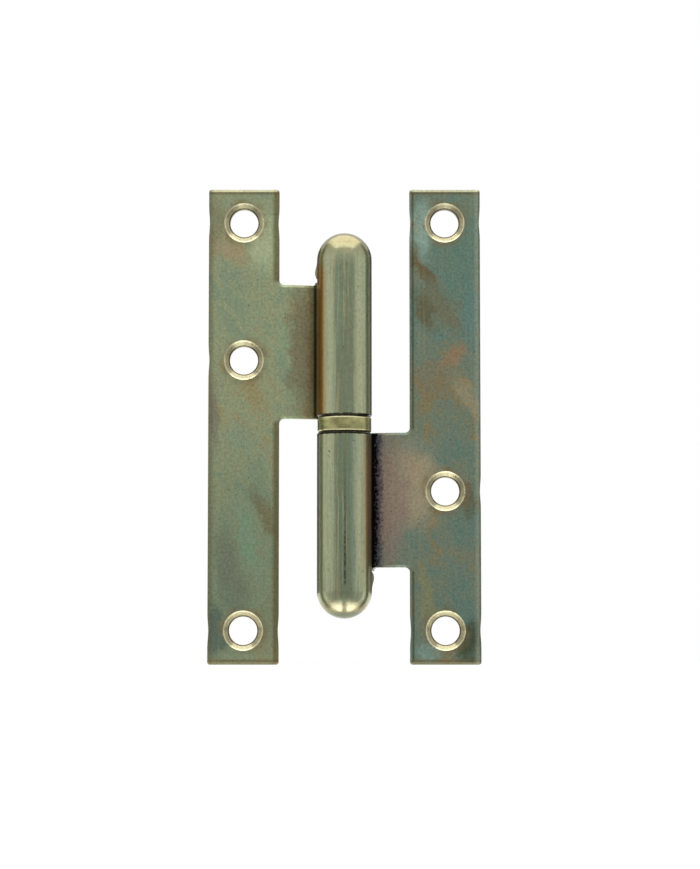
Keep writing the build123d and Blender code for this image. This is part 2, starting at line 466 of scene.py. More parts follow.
# The leaf that stays, in the same order
FIXED_LEAF = SimpleNamespace(
    hand=-1,
    dark_reflection_fade=(49.0, 53.5),
    dome_tints_and_highlight=(
        (51.0, 53.2, 0.8, "#988e70"),
        (54.3, 55.3, 0.85, "#737d68"),
    ),
    joint_shade_reach=3.4,
    stains=(
        (23.5, 58.0, 5.0, 11.0, 0, 0.75, "#94afa2"),
        (34.0, 54.0, 12.0, 24.0, 0, 0.6, "#5e7f72"),
        (23.0, 46.0, 2.8, 8.0, -35, 0.8, "#6a5737"),
        (28.5, 36.0, 5.0, 14.0, -35, 0.7, "#737056"),
        (23.5, 34.0, 4.0, 10.0, -25, 0.7, "#655c3c"),
        (36.5, 33.0, 4.0, 12.0, 0, 0.6, "#64837c"),
        (27.0, 13.0, 8.0, 8.0, 0, 0.6, "#85765a"),
        (31.6, 20.2, 3.6, 7.0, 40, 0.6, "#9c7a5a"),
        (36.5, 8.0, 4.0, 9.0, -30, 0.5, "#aa9773"),
        (19.5, -18.0, 12.0, 17.0, 0, 0.85, "#a4987c"),
        # This stain over the tab is painted reflection of the knuckle's brown side
        (13.0, -22.0, 9.0, 28.0, 0, 0.9, "#8f7e70"),
        (37.0, -22.0, 4.0, 8.0, 0, 0.7, "#605d46"),
        (24.0, -50.0, 3.5, 13.0, -12, 0.7, "#898860"),
        (36.5, -64.0, 6.0, 9.0, 0, 0.9, "#46503c"),
        (25.0, -66.5, 5.0, 4.0, 0, 0.7, "#7e9b91"),
    ),
    crevice_shade_bands=(
        (4.6, 7.0, 7.4, 7.8, False, 28.0, 14.0, 0.85, "#8f7353"),
        (8.8, 9.3, 9.9, 11.8, True, 20.6, 2.0, 0.68, "#3d3658"),
        (7.4, 7.9, 9.2, 9.8, True, 21.6, 3.0, 0.97, "#0c0a0a"),
    ),
    outer_bands=(
        (38.0, 38.8, 39.2, 39.6, 0.32, "#a7ab96"),
        (39.3, 39.7, 41.0, 42.0, 0.5, "#5f5f4c"),
    ),
    inner_bands=(
        (20.7, 20.2, 20.0, 19.6, 0.6, "#35331f"),
    ),
)

# Brown line, and a bright band that is a painted highlight of the bevel, at both ends of both leaves, by
# height from the middle
END_BANDS = (
    (68.2, 68.8, 69.1, 69.4, 0.6, "#6b5834"),
    (69.2, 69.5, 71.0, 72.0, 0.7, "#9d967a"),
)

# Painted reflection down the sides of both knuckles, a browner band where they turn away, by away
KNUCKLE_SIDE_REFLECTION = (
    (7.1, 7.9, 8.1, 8.6, 0.6, "#6b5533"),
)


def coated(tree, colour, films):
    """Lays films over a colour, one after another.

    A film is its tint and then its weights, which multiplied say how strongly it shows.
    """
    for tint, strength, *shares in films:
        for share in shares:
            strength = node(tree, "ShaderNodeMath", {0: strength, 1: share}, operation="MULTIPLY")
        over = linear(tint) if isinstance(tint, str) else tint
        colour = node(tree, "ShaderNodeMix", {"Factor": strength, "A": colour, "B": over}, data_type="RGBA")
    return colour


def leaf_places(tree, hand):
    """Where a spot lies on a leaf, in mm, and the noises that more than one film goes by.

    The leaf that stays is the other turned end for end, so along and tabward count from the
    joint and towards the tab on both.
    """
    spot = node(tree, "ShaderNodeTexCoord")
    mm = node(tree, "ShaderNodeVectorMath", {0: spot.outputs["Object"], "Scale": 1 / MM}, operation="SCALE")
    x, y, z = node(tree, "ShaderNodeSeparateXYZ", {0: mm}).outputs
    away = node(tree, "ShaderNodeMath", {0: x}, operation="ABSOLUTE")
    along = node(tree, "ShaderNodeMath", {0: z, 1: float(hand)}, operation="MULTIPLY")
    past_tab = node(tree, "ShaderNodeMath", {0: along, 1: TAB_MIDDLE / MM}, operation="SUBTRACT")

    # 1 on faces that look to the front, 0 on those that lie against the wood
    normal = node(tree, "ShaderNodeSeparateXYZ", {0: spot.outputs["Normal"]})
    facing = node(tree, "ShaderNodeMapRange", {
        "Value": normal.outputs["Y"], "From Min": -0.25, "From Max": 0.05, "To Min": 1.0, "To Max": 0.0})

    # 1 on the knuckle, 0 beyond it
    across = node(tree, "ShaderNodeCombineXYZ", {"X": x, "Y": y})
    radius = node(tree, "ShaderNodeVectorMath", {0: across}, operation="LENGTH")
    skin = KNUCKLE_RADIUS / MM
    knuckle = node(tree, "ShaderNodeMapRange", {
        "Value": radius, "From Min": skin + 0.05, "From Max": skin + 0.55, "To Min": 1.0, "To Max": 0.0})

    # 1 before the middle of the sheet, 0 behind it
    middle = (LEAF_FRONT + LEAF_BACK) / 2 / MM
    front = node(tree, "ShaderNodeMapRange", {
        "Value": y, "From Min": middle - 0.05, "From Max": middle, "To Min": 1.0, "To Max": 0.0})

    # Distance from the middle of the nearest screw hole
    flat_spot = node(tree, "ShaderNodeCombineXYZ", {"X": away, "Z": along})
    low, mid, high = [node(tree, "ShaderNodeVectorMath", {
        0: flat_spot, 1: (HOLE_X / MM, 0.0, height / MM)}, operation="DISTANCE") for height in HOLE_HEIGHTS]
    two = node(tree, "ShaderNodeMath", {0: low, 1: mid}, operation="MINIMUM")
    return SimpleNamespace(
        mm=mm, x=x, away=away, along=along, facing=facing, knuckle=knuckle, front=front,
        tabward=node(tree, "ShaderNodeMath", {0: x, 1: float(-hand)}, operation="MULTIPLY"),
        endward=node(tree, "ShaderNodeMath", {0: z}, operation="ABSOLUTE"),
        from_tab=node(tree, "ShaderNodeMath", {0: past_tab}, operation="ABSOLUTE"),
        hole=node(tree, "ShaderNodeMath", {0: two, 1: high}, operation="MINIMUM"),
        wander=node(tree, "ShaderNodeTexNoise", {
            "Vector": mm, "Scale": 0.22, "Detail": 3.0, "Roughness": 0.6}),
        ragged=node(tree, "ShaderNodeTexNoise", {
            "Vector": mm, "Scale": 1.3, "Detail": 4.0, "Roughness": 0.7}))


def clouded_film(tree, at, cloud, plain, thin, thick):
    """The film without stains: the clouds, broken by leaning swirls of 3 by 7 mm."""
    swirl_place = node(tree, "ShaderNodeMapping", {
        "Vector": at.mm, "Rotation": (0.0, math.radians(-32), 0.0), "Scale": (3.0, 3.0, 7.0)},
        vector_type="TEXTURE")
    swirl = node(tree, "ShaderNodeTexNoise", {
        "Vector": swirl_place, "Scale": 1.0, "Detail": 6.0, "Roughness": 0.62, "Distortion": 0.9})
    thickness = node(tree, "ShaderNodeMix", {"Factor": 0.55, "A": cloud, "B": swirl}, data_type="FLOAT")
    films = []
    for full, tint in ((THIN_FROM, thin), (THICK_FROM, thick)):
        weight = node(tree, "ShaderNodeMapRange", {
            "Value": thickness, "From Min": PLAIN_TO, "From Max": full, "To Max": 0.85},
            interpolation_type="SMOOTHSTEP")
        films.append((tint, weight))
    return coated(tree, plain, films)


def stained_film(tree, at, film, stains):
    """Adds the stains, whose edges wander by a few millimetres and which are fainter behind."""
    centred = node(tree, "ShaderNodeVectorMath", {
        0: at.wander.outputs["Color"], 1: (0.5, 0.5, 0.5)}, operation="SUBTRACT")
    pushed = node(tree, "ShaderNodeVectorMath", {0: centred, "Scale": STAIN_WANDER}, operation="SCALE")
    strayed = node(tree, "ShaderNodeVectorMath", {0: at.mm, 1: pushed}, operation="ADD")
    films = []
    for x, z, half_width, half_height, lean, strength, tint in stains:
        patch = node(tree, "ShaderNodeMapping", {
            "Vector": strayed, "Location": (x, 0.0, z), "Rotation": (0.0, math.radians(lean), 0.0),
            "Scale": (half_width, STAIN_DEPTH, half_height)}, vector_type="TEXTURE")
        fade = node(tree, "ShaderNodeTexGradient", {"Vector": patch}, gradient_type="SPHERICAL")
        weight = node(tree, "ShaderNodeMapRange", {
            "Value": fade.outputs["Fac"], "From Max": 0.7, "To Max": strength},
            interpolation_type="SMOOTHSTEP")
        films.append((tint, weight))
    kept = node(tree, "ShaderNodeMapRange", {"Value": at.facing, "To Min": STAIN_BEHIND, "To Max": 1.0})
    return coated(tree, film, [(coated(tree, film, films), kept)])


def knuckle_films(tree, at, leaf, thin, settings):
    """Films of the knuckle, which the rolling left smoother and lighter, with painted reflection down its
    front and tints of its dome that colour its highlight.
    """

    # Lengthwise streaks left by the rolling, about 1 mm wide and 30 mm long
    streak_place = node(tree, "ShaderNodeMapping", {"Vector": at.mm, "Scale": (1.1, 1.1, 0.035)})
    streak = node(tree, "ShaderNodeTexNoise", {
        "Vector": streak_place, "Scale": 1.0, "Detail": 5.0, "Roughness": 0.65})

    # Painted reflection: a darker band runs down the front of the knuckle, with edges that wander
    wave = node(tree, "ShaderNodeMath", {
        0: streak, 1: DARK_REFLECTION_WANDER, 2: -DARK_REFLECTION_WANDER / 2}, operation="MULTIPLY_ADD")
    sideways = node(tree, "ShaderNodeMath", {0: at.away, 1: wave}, operation="ADD")
    dark_reflection = node(tree, "ShaderNodeMapRange", {
        "Value": sideways, "From Min": 2.0, "From Max": 3.6, "To Min": 0.9, "To Max": 0.0},
        interpolation_type="SMOOTHSTEP")
    fading, gone = leaf.dark_reflection_fade
    dark_reflection_end = node(tree, "ShaderNodeMapRange", {
        "Value": at.along, "From Min": fading, "From Max": gone, "To Min": 1.0, "To Max": 0.0})
    films = [
        (settings.rolled, at.knuckle),
        (settings.dark_reflection, dark_reflection, at.front, at.knuckle, dark_reflection_end),
    ]

    # The streaks are strong on the knuckle and faint on the flat
    streaked = node(tree, "ShaderNodeMapRange", {"Value": at.knuckle, "To Min": 0.1, "To Max": 0.6})
    for least, most, tint in ((0.50, 0.66, thin), (0.46, 0.34, "#b0a883")):
        share = node(tree, "ShaderNodeMapRange", {"Value": streak, "From Min": least, "From Max": most})
        films.append((tint, share, streaked))

    # Tints over the dome: cream where the lamps' highlights fall, a painted highlight colour, and on the leaf
    # that stays a greener tip beyond it
    for start, full, strength, tint in leaf.dome_tints_and_highlight:
        weight = node(tree, "ShaderNodeMapRange", {
            "Value": at.along, "From Min": start, "From Max": full, "To Max": strength})
        films.append((tint, weight, at.knuckle))
    return films


def hole_films(tree, at, cone, settings):
    """Films of the countersinks with a painted highlight at the rim and painted shade at the foot, and
    painted shade of a shallow dish round them.
    """
    rim, foot = CONE_RADIUS / MM, CONE_FOOT_RADIUS / MM

    # Painted shade of the shallow dish pressed round each countersink, brown and broken up
    dish_shade = node(tree, "ShaderNodeMapRange", {
        "Value": at.hole, "From Min": rim - 0.05, "From Max": rim + 2.55, "To Min": 1.0, "To Max": 0.0},
        interpolation_type="SMOOTHSTEP")
    patchy = node(tree, "ShaderNodeMapRange", {
        "Value": at.wander, "From Min": 0.4, "From Max": 0.62, "To Max": 0.75})

    # Painted highlight makes the cone brighter towards its rim, and painted shade darkens the narrow step at
    # its foot
    edge = node(tree, "ShaderNodeMapRange", {
        "Value": at.hole, "From Min": rim - 0.55, "From Max": rim - 0.2}, interpolation_type="SMOOTHSTEP")
    step = node(tree, "ShaderNodeMapRange", {
        "Value": at.hole, "From Min": foot, "From Max": foot + 0.1, "To Min": 0.85, "To Max": 0.0})
    cut = coated(tree, settings.countersunk, [("#c4bd9c", edge), ("#40351f", step)])
    return [("#7c6c4c", dish_shade, at.facing, patchy), (cut, cone)]


def edge_films(tree, at, leaf):
    """Bands along the sheared edges, a painted highlight at the leaves' ends and painted reflection down the
    sides of the knuckle.
    """
    free_edge = node(tree, "ShaderNodeMapRange", {
        "Value": at.from_tab, "From Min": TAB_HALF / MM + 0.45, "From Max": TAB_HALF / MM + 1.45})
    films = []
    for measure, bands, limits in (
        (at.away, leaf.inner_bands, (free_edge, at.facing)), (at.endward, END_BANDS, ()),
        (at.away, leaf.outer_bands, ()), (at.away, KNUCKLE_SIDE_REFLECTION, ()),
    ):
        for start, full, last, gone, strength, tint in bands:
            rising = node(tree, "ShaderNodeMapRange", {"Value": measure, "From Min": start, "From Max": full})
            falling = node(tree, "ShaderNodeMapRange", {
                "Value": measure, "From Min": last, "From Max": gone, "To Min": strength, "To Max": 0.0})
            films.append((tint, rising, falling, *limits))
    return films


def painted_crevice_shade(tree, at, leaf):
    """Painted shade and reflection in bands along the crevice of root and knuckle: dark shade in and beside
    the crevice, brown and orange painted reflection on the tab and the knuckle's side.
    """
    strayed = node(tree, "ShaderNodeMath", {
        0: at.ragged, 1: CREVICE_SHADE_WANDER, 2: -CREVICE_SHADE_WANDER / 2}, operation="MULTIPLY_ADD")
    ragged_out = node(tree, "ShaderNodeMath", {0: at.tabward, 1: strayed}, operation="ADD")
    ragged_end = node(tree, "ShaderNodeMath", {0: at.from_tab, 1: strayed}, operation="ADD")
    films = []
    for start, full, last, gone, ends_ragged, reach, fade, strength, tint in leaf.crevice_shade_bands:
        beside_tab = node(tree, "ShaderNodeMapRange", {
            "Value": ragged_end, "From Min": reach - fade, "From Max": reach, "To Min": 1.0, "To Max": 0.0},
            interpolation_type="SMOOTHSTEP")
        rising = node(tree, "ShaderNodeMapRange", {
            "Value": at.tabward, "From Min": start, "From Max": full}, interpolation_type="SMOOTHSTEP")
        falling = node(tree, "ShaderNodeMapRange", {
            "Value": ragged_out if ends_ragged else at.tabward, "From Min": last, "From Max": gone,
            "To Min": strength, "To Max": 0.0}, interpolation_type="SMOOTHSTEP")
        films.append((tint, rising, falling, beside_tab, at.facing))
    return films


def joint_shade_films(tree, at, leaf):
    """Painted shade: near-black over the bevel of the knuckle's open end, reaching a ragged length out of the
    joint.
    """
    shade_limit = node(tree, "ShaderNodeMath", {
        0: at.ragged, 1: -0.7, 2: leaf.joint_shade_reach}, operation="MULTIPLY_ADD")
    past_shade_limit = node(tree, "ShaderNodeMath", {0: at.along, 1: shade_limit}, operation="SUBTRACT")
    joint_shade = node(tree, "ShaderNodeMapRange", {
        "Value": past_shade_limit, "From Min": 0.0, "From Max": 0.1, "To Min": 0.96, "To Max": 0.0})
    joint = node(tree, "ShaderNodeMath", {0: at.away, 1: KNUCKLE_RADIUS / MM + 0.15}, operation="LESS_THAN")
    return [("#15110a", joint_shade, joint)]


def dark_line_films(tree, at):
    """A dark line down the front of the knuckle, in dashes towards its dome."""
    beside = node(tree, "ShaderNodeMath", {0: at.x, 1: DARK_LINE_X}, operation="SUBTRACT")
    beside_size = node(tree, "ShaderNodeMath", {0: beside}, operation="ABSOLUTE")
    line = node(tree, "ShaderNodeMapRange", {
        "Value": beside_size, "From Min": 0.12, "From Max": 0.5, "To Min": 1.0, "To Max": 0.0})
    fresh = node(tree, "ShaderNodeMapRange", {
        "Value": at.along, "From Min": 6.0, "From Max": 38.0, "To Min": 0.1, "To Max": 0.95})
    stopped = node(tree, "ShaderNodeMapRange", {
        "Value": at.along, "From Min": 46.4, "From Max": 47.4, "To Min": 1.0, "To Max": 0.0})
    dash = node(tree, "ShaderNodeMapRange", {
        "Value": at.ragged, "From Min": 0.42, "From Max": 0.56, "To Min": 0.2})
    return [("#1c1c14", line, fresh, stopped, dash, at.front)]


# Metals

def blank_material(name):
    """A material without nodes, and its tree."""
    made = bpy.data.materials.new(name)
    made.use_nodes = True
    made.node_tree.nodes.clear()
    return made, made.node_tree


def chromated_zinc(name, leaf, tones, settings):
    """Sheet steel, zinc plated and dipped in yellow chromate.

    The film is thin enough to show interference colours, so the eye sees a satin metal that
    drifts from olive to teal and tan and is browner along sheared edges. Painted shade darkens it
    round the countersinks, in the crevice and at the knuckle's open end, and painted reflection
    and highlight tint the knuckle, the tab and the leaves' ends.
    tones are the colours of the plain, the thinner and the thicker film.
    """
    metal, tree = blank_material(name)
    plain, thin, thick = tones
    at = leaf_places(tree, leaf.hand)

    # Clouds about 14 mm across and 22 mm tall
    cloud_place = node(tree, "ShaderNodeMapping", {"Vector": at.mm, "Scale": (0.07, 0.07, 0.045)})
    cloud = node(tree, "ShaderNodeTexNoise", {
        "Vector": cloud_place, "Scale": 1.0, "Detail": 4.0, "Roughness": 0.55, "Distortion": 0.4})

    # 1 within a countersink, 0 outside it
    inside = node(tree, "ShaderNodeMapRange", {
        "Value": at.hole, "From Min": CONE_RADIUS / MM - 0.03, "From Max": CONE_RADIUS / MM + 0.05,
        "To Min": 1.0, "To Max": 0.0})
    cone = node(tree, "ShaderNodeMath", {0: inside, 1: at.front}, operation="MULTIPLY")

    film = clouded_film(tree, at, cloud, plain, thin, thick)
    films = knuckle_films(tree, at, leaf, thin, settings) + hole_films(tree, at, cone, settings)
    films += edge_films(tree, at, leaf) + painted_crevice_shade(tree, at, leaf) + joint_shade_films(tree, at, leaf)
    if leaf is FIXED_LEAF:
        films += dark_line_films(tree, at)
    colour = coated(tree, stained_film(tree, at, film, leaf.stains), films)

    # Fine mottle of the crystals under the film, about 0.5 mm across
    crystal = node(tree, "ShaderNodeTexNoise", {
        "Vector": at.mm, "Scale": 1.3, "Detail": 5.0, "Roughness": 0.75})
    sparkle = node(tree, "ShaderNodeMapRange", {
        "Value": crystal, "From Min": 0.3, "From Max": 0.7, "To Min": 0.71, "To Max": 1.27}, clamp=False)
    mottle = node(tree, "ShaderNodeMapRange", {"Value": at.knuckle, "To Min": 1.0, "To Max": 0.55})
    mottled = node(tree, "ShaderNodeMix", {
        "Factor": mottle, "A": colour, "B": sparkle}, data_type="RGBA", blend_type="MULTIPLY")

    # Pits in the film, up to 0.5 mm across and sparse
    pit = node(tree, "ShaderNodeTexNoise", {"Vector": at.mm, "Scale": 1.4, "Detail": 1.0})
    pit_weight = node(tree, "ShaderNodeMapRange", {
        "Value": pit, "From Min": 0.72, "From Max": 0.76, "To Max": 0.7})
    pitted = coated(tree, mottled, [("#3c3626", pit_weight)])

    # Satin of the plate, tighter on the knuckle and the cut cones
    satin = node(tree, "ShaderNodeMapRange", {
        "Value": cloud, "From Min": 0.3, "From Max": 0.7, "To Min": 0.30, "To Max": 0.42})
    smoothed = node(tree, "ShaderNodeMath", {0: at.knuckle, 1: cone}, operation="MAXIMUM")
    roughness = node(tree, "ShaderNodeMix", {"Factor": smoothed, "A": satin, "B": 0.24}, data_type="FLOAT")

    # Rolled grain: scratches about 0.5 mm wide and 8 mm long, and pebbling of about 1 mm
    grain_place = node(tree, "ShaderNodeMapping", {"Vector": at.mm, "Scale": (2.2, 2.2, 0.12)})
    grain = node(tree, "ShaderNodeTexNoise", {
        "Vector": grain_place, "Scale": 1.0, "Detail": 3.0, "Roughness": 0.6})
    pebble = node(tree, "ShaderNodeTexNoise", {"Vector": at.mm, "Scale": 0.9, "Detail": 3.0})
    relief = node(tree, "ShaderNodeMath", {0: grain, 1: pebble}, operation="ADD")
    bump = node(tree, "ShaderNodeBump", {
        "Strength": 1.0, "Distance": settings.grain_depth, "Height": relief})
    surface = node(tree, "ShaderNodeBsdfPrincipled", {
        "Base Color": pitted, "Metallic": 1.0, "Roughness": roughness, "Normal": bump})
    node(tree, "ShaderNodeOutputMaterial", {"Surface": surface})
    return metal


def drawn_steel(name, colour):
    """Cold drawn steel bar, lightly greased: bright grey with fine lines along the pin.

    The lines are about 0.3 mm wide and 17 mm long, coarser than the real ones so that they show.
    """
    metal, tree = blank_material(name)
    spot = node(tree, "ShaderNodeTexCoord")
    lines = node(tree, "ShaderNodeMapping", {"Vector": spot.outputs["Object"], "Scale": (3000, 3000, 60)})
    drawn = node(tree, "ShaderNodeTexNoise", {"Vector": lines, "Scale": 1.0, "Detail": 3.0})
    tone = coated(tree, tuple(c * 0.75 for c in colour), [(colour, drawn)])
    satin = node(tree, "ShaderNodeMapRange", {"Value": drawn, "To Min": 0.26, "To Max": 0.4})
    bump = node(tree, "ShaderNodeBump", {"Strength": 1.0, "Distance": 0.002 * MM, "Height": drawn})
    surface = node(tree, "ShaderNodeBsdfPrincipled", {
        "Base Color": tone, "Metallic": 1.0, "Roughness": satin, "Normal": bump})
    node(tree, "ShaderNodeOutputMaterial", {"Surface": surface})
    return metal


def turned_brass(name, colour):
    """Brass turned from bar: yellow, with darker olive tarnish in clouds and painted highlight along its
    edges.

    The clouds are about 4 mm wide and 2 mm tall.
    """
    metal, tree = blank_material(name)
    spot = node(tree, "ShaderNodeTexCoord")
    clouds = node(tree, "ShaderNodeMapping", {"Vector": spot.outputs["Object"], "Scale": (260, 260, 500)})
    cloud = node(tree, "ShaderNodeTexNoise", {"Vector": clouds, "Scale": 1.0, "Detail": 4.0})
    spread = node(tree, "ShaderNodeMapRange", {"Value": cloud, "From Min": 0.35, "From Max": 0.65})
    axes = node(tree, "ShaderNodeSeparateXYZ", {0: spot.outputs["Object"]})
    height = node(tree, "ShaderNodeMath", {0: axes.outputs["Z"]}, operation="ABSOLUTE")
    # Painted highlight along the ring's top and bottom edges
    edge = node(tree, "ShaderNodeMapRange", {
        "Value": height, "From Min": 1.5 * MM, "From Max": 1.75 * MM, "To Max": 0.85})
    brass_with_edge_highlight = coated(tree, linear("#828058"), [(colour, spread), ("#d8d2a4", edge)])
    satin = node(tree, "ShaderNodeMapRange", {"Value": cloud, "To Min": 0.2, "To Max": 0.36})
    surface = node(tree, "ShaderNodeBsdfPrincipled", {
        "Base Color": brass_with_edge_highlight, "Metallic": 1.0, "Roughness": satin})
    node(tree, "ShaderNodeOutputMaterial", {"Surface": surface})
    return metal


# Operators

class HINGE_OT_leaves(bpy.types.Operator):
    """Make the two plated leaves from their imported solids"""

    bl_idname = "hinge.leaves"
    bl_label = "Plated Leaves"

    def execute(self, context):
        settings = context.scene.hinge_leaves
        for solid, body, leaf, films in (
            ("upper_leaf", "upper", LIFTING_LEAF, (settings.sage, settings.moss, settings.straw)),
            ("lower_leaf", "lower", FIXED_LEAF, (settings.slate, settings.teal, settings.umber)),
        ):
            piece = leaf_mesh(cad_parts[solid], solid + "_plated", leaf.hand, settings)
            piece.data.materials.clear()
            piece.data.materials.append(chromated_zinc("Chromated zinc " + body, leaf, films, settings))
            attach(piece, body)
            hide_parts(solid)
        return {"FINISHED"}


class HINGE_OT_pin(bpy.types.Operator):
    """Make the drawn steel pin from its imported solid"""

    bl_idname = "hinge.pin"
    bl_label = "Drawn Pin"

    def execute(self, context):
        settings = context.scene.hinge_pin
        low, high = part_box("hinge_pin")
        joined = merged_copy(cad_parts["hinge_pin"], "pin_drawn")
        nose = high.z - PIN_NOSE_LENGTH

        # The pin fills the bore that it is pressed in, and is thinner where the upper knuckle turns
        for near, far in (
            ((low.z + PIN_CHAMFER, BORE_RADIUS), (-KNUCKLE_END, BORE_RADIUS)),
            ((-KNUCKLE_END, PIN_RADIUS), (nose, PIN_RADIUS)),
            ((nose, PIN_RADIUS), (high.z, PIN_NOSE_RADIUS)),
        ):
            place = on_cone((0, 0, 0), (0, 0, 1), near, far, slack=0.04 * MM)
            turn_finer(joined, place, fan((0, 0, 0), (0, 0, 1), settings.facet_angle))
        piece = finished_piece(joined, "pin_drawn", settings.smooth_angle)
        piece.data.materials.clear()
        piece.data.materials.append(drawn_steel("Drawn steel", settings.steel))
        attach(piece, "lower")
        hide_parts("hinge_pin")
        return {"FINISHED"}


class HINGE_OT_ring(bpy.types.Operator):
    """Grow the turned ring between the knuckles with Geometry Nodes"""

    bl_idname = "hinge.ring"
    bl_label = "Turned Ring"

    def execute(self, context):
        settings = context.scene.hinge_ring
        tree = bpy.data.node_groups.new("Turned ring", "GeometryNodeTree")
        values = {
            "Inner radius": settings.inner_radius,
            "Outer radius": settings.outer_radius,
            "Height": settings.height,
            "Edge radius": settings.edge_radius,
            "Groove depth": settings.groove_depth,
            "Groove spacing": settings.groove_spacing,
            "Steps round": settings.steps_round,
            "Metal": turned_brass("Turned brass", settings.brass),
        }
        kinds = {"Steps round": "NodeSocketInt", "Metal": "NodeSocketMaterial"}
        sockets = {name: tree.interface.new_socket(
            name, in_out="INPUT", socket_type=kinds.get(name, "NodeSocketFloat")) for name in values}
        tree.interface.new_socket("Geometry", in_out="OUTPUT", socket_type="NodeSocketGeometry")
        given = node(tree, "NodeGroupInput").outputs
        inner, outer = given["Inner radius"], given["Outer radius"]

        # The wall's section is swept round a circle through its middle
        total = node(tree, "ShaderNodeMath", {0: inner, 1: outer}, operation="ADD")
        middle = node(tree, "ShaderNodeMath", {0: total, 1: 0.5}, operation="MULTIPLY")
        wall = node(tree, "ShaderNodeMath", {0: outer, 1: inner}, operation="SUBTRACT")
        circle = node(tree, "GeometryNodeCurvePrimitiveCircle", {
            "Resolution": given["Steps round"], "Radius": middle})
        section = node(tree, "GeometryNodeCurvePrimitiveQuadrilateral", {
            "Width": wall, "Height": given["Height"]})
        eased = node(tree, "GeometryNodeFilletCurve", {
            "Curve": section, "Radius": given["Edge radius"], "Count": RING_EDGE_STEPS}, mode="POLY")
        even = node(tree, "GeometryNodeResampleCurve", {
            "Curve": eased, "Length": RING_SECTION_STEP}, mode="LENGTH")
        swept = node(tree, "GeometryNodeCurveToMesh", {"Curve": circle, "Profile Curve": even})

        # Turning marks on the outside
        spot = node(tree, "GeometryNodeInputPosition")
        x, y, z = node(tree, "ShaderNodeSeparateXYZ", {0: spot}).outputs
        level = node(tree, "ShaderNodeCombineXYZ", {"X": x, "Y": y})
        reach = node(tree, "ShaderNodeVectorMath", {0: level}, operation="LENGTH")
        outward = node(tree, "ShaderNodeVectorMath", {0: level}, operation="NORMALIZE")
        skin = node(tree, "ShaderNodeMath", {0: outer, 1: RING_SKIN}, operation="SUBTRACT")
        outside = node(tree, "ShaderNodeMath", {0: reach, 1: skin}, operation="GREATER_THAN")
        turns = node(tree, "ShaderNodeMath", {0: z, 1: given["Groove spacing"]}, operation="DIVIDE")
        phase = node(tree, "ShaderNodeMath", {0: turns, 1: math.tau}, operation="MULTIPLY")
        wave = node(tree, "ShaderNodeMath", {0: phase}, operation="SINE")
        dip = node(tree, "ShaderNodeMapRange", {
            "Value": wave, "From Min": -1.0, "From Max": 1.0, "To Min": -1.0, "To Max": 0.0})
        cut = node(tree, "ShaderNodeMath", {0: dip, 1: given["Groove depth"]}, operation="MULTIPLY")
        shift = node(tree, "ShaderNodeVectorMath", {0: outward, "Scale": cut}, operation="SCALE")
        grooved = node(tree, "GeometryNodeSetPosition", {
            "Geometry": swept, "Selection": outside, "Offset": shift})
        whole = node(tree, "GeometryNodeRealizeInstances", {"Geometry": grooved})
        metal = node(tree, "GeometryNodeSetMaterial", {"Geometry": whole, "Material": given["Metal"]})
        node(tree, "NodeGroupOutput", {"Geometry": metal})

        blank = bpy.data.meshes.new("Ring blank")
        grower = bpy.data.objects.new("Ring blank", blank)
        context.scene.collection.objects.link(grower)
        grown = grower.modifiers.new("Turned ring", "NODES")
        grown.node_group = tree
        for name, value in values.items():
            grown[sockets[name].identifier] = value
        mesh = plain_mesh(grower, context)
        bpy.data.objects.remove(grower)
        bpy.data.meshes.remove(blank)
        finer = bmesh.new()
        finer.from_mesh(mesh)
        bmesh.ops.recalc_face_normals(finer, faces=finer.faces)
        for face in finer.faces:
            face.smooth = True
        finer.to_mesh(mesh)
        finer.free()
        piece = bpy.data.objects.new("ring_turned", mesh)
        context.scene.collection.objects.link(piece)
        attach(piece, "ring")
        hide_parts("friction_ring")
        return {"FINISHED"}


def card(name, corners, faces, low, level, rise=0.0):
    """A studio card that only reflections see. It is brighter by rise at the grade height above low."""
    mesh = bpy.data.meshes.new(name)
    mesh.from_pydata(corners, [], faces)
    made = bpy.data.objects.new(name, mesh)
    bpy.context.scene.collection.objects.link(made)
    glow, tree = blank_material(name)
    spot = node(tree, "ShaderNodeTexCoord")
    axes = node(tree, "ShaderNodeSeparateXYZ", {0: spot.outputs["Object"]})
    graded = node(tree, "ShaderNodeMapRange", {
        "Value": axes.outputs["Z"], "From Min": low, "From Max": low + CARD_GRADE_HEIGHT,
        "To Min": level, "To Max": level + rise})
    light = node(tree, "ShaderNodeEmission", {"Color": (1, 1, 1), "Strength": graded})
    node(tree, "ShaderNodeOutputMaterial", {"Surface": light})
    mesh.materials.append(glow)
    made.visible_camera = made.visible_diffuse = made.visible_shadow = False


def upright_card(name, bearing, spread, high, level, rise=0.0):
    """A card curved round the hinge. Angles are from the front."""
    steps = CARD_STEPS
    turns = [bearing + spread * (2 * i / steps - 1) for i in range(steps + 1)]
    corners = [(CARD_DISTANCE * math.sin(t), -CARD_DISTANCE * math.cos(t), z)
               for z in (CARD_FOOT, high) for t in turns]
    faces = [(i, i + 1, i + steps + 2, i + steps + 1) for i in range(steps)]
    card(name, corners, faces, CARD_FOOT, level, rise)


def lamp(name, place, size, level, spread=math.pi):
    """A soft rectangular lamp, aimed straight up or down at the height of the pin's middle.

    Its face shows as about level times white in a mirror.
    """
    data = bpy.data.lights.new(name, "AREA")
    data.shape = "RECTANGLE"
    data.size, data.size_y = size
    data.energy = level * math.pi * size[0] * size[1]
    data.spread = spread
    made = bpy.data.objects.new(name, data)
    made.location = place
    made.rotation_euler = Vector((0, 0, -place[2])).to_track_quat("-Z", "Y").to_euler()
    made.visible_camera = False
    bpy.context.scene.collection.objects.link(made)


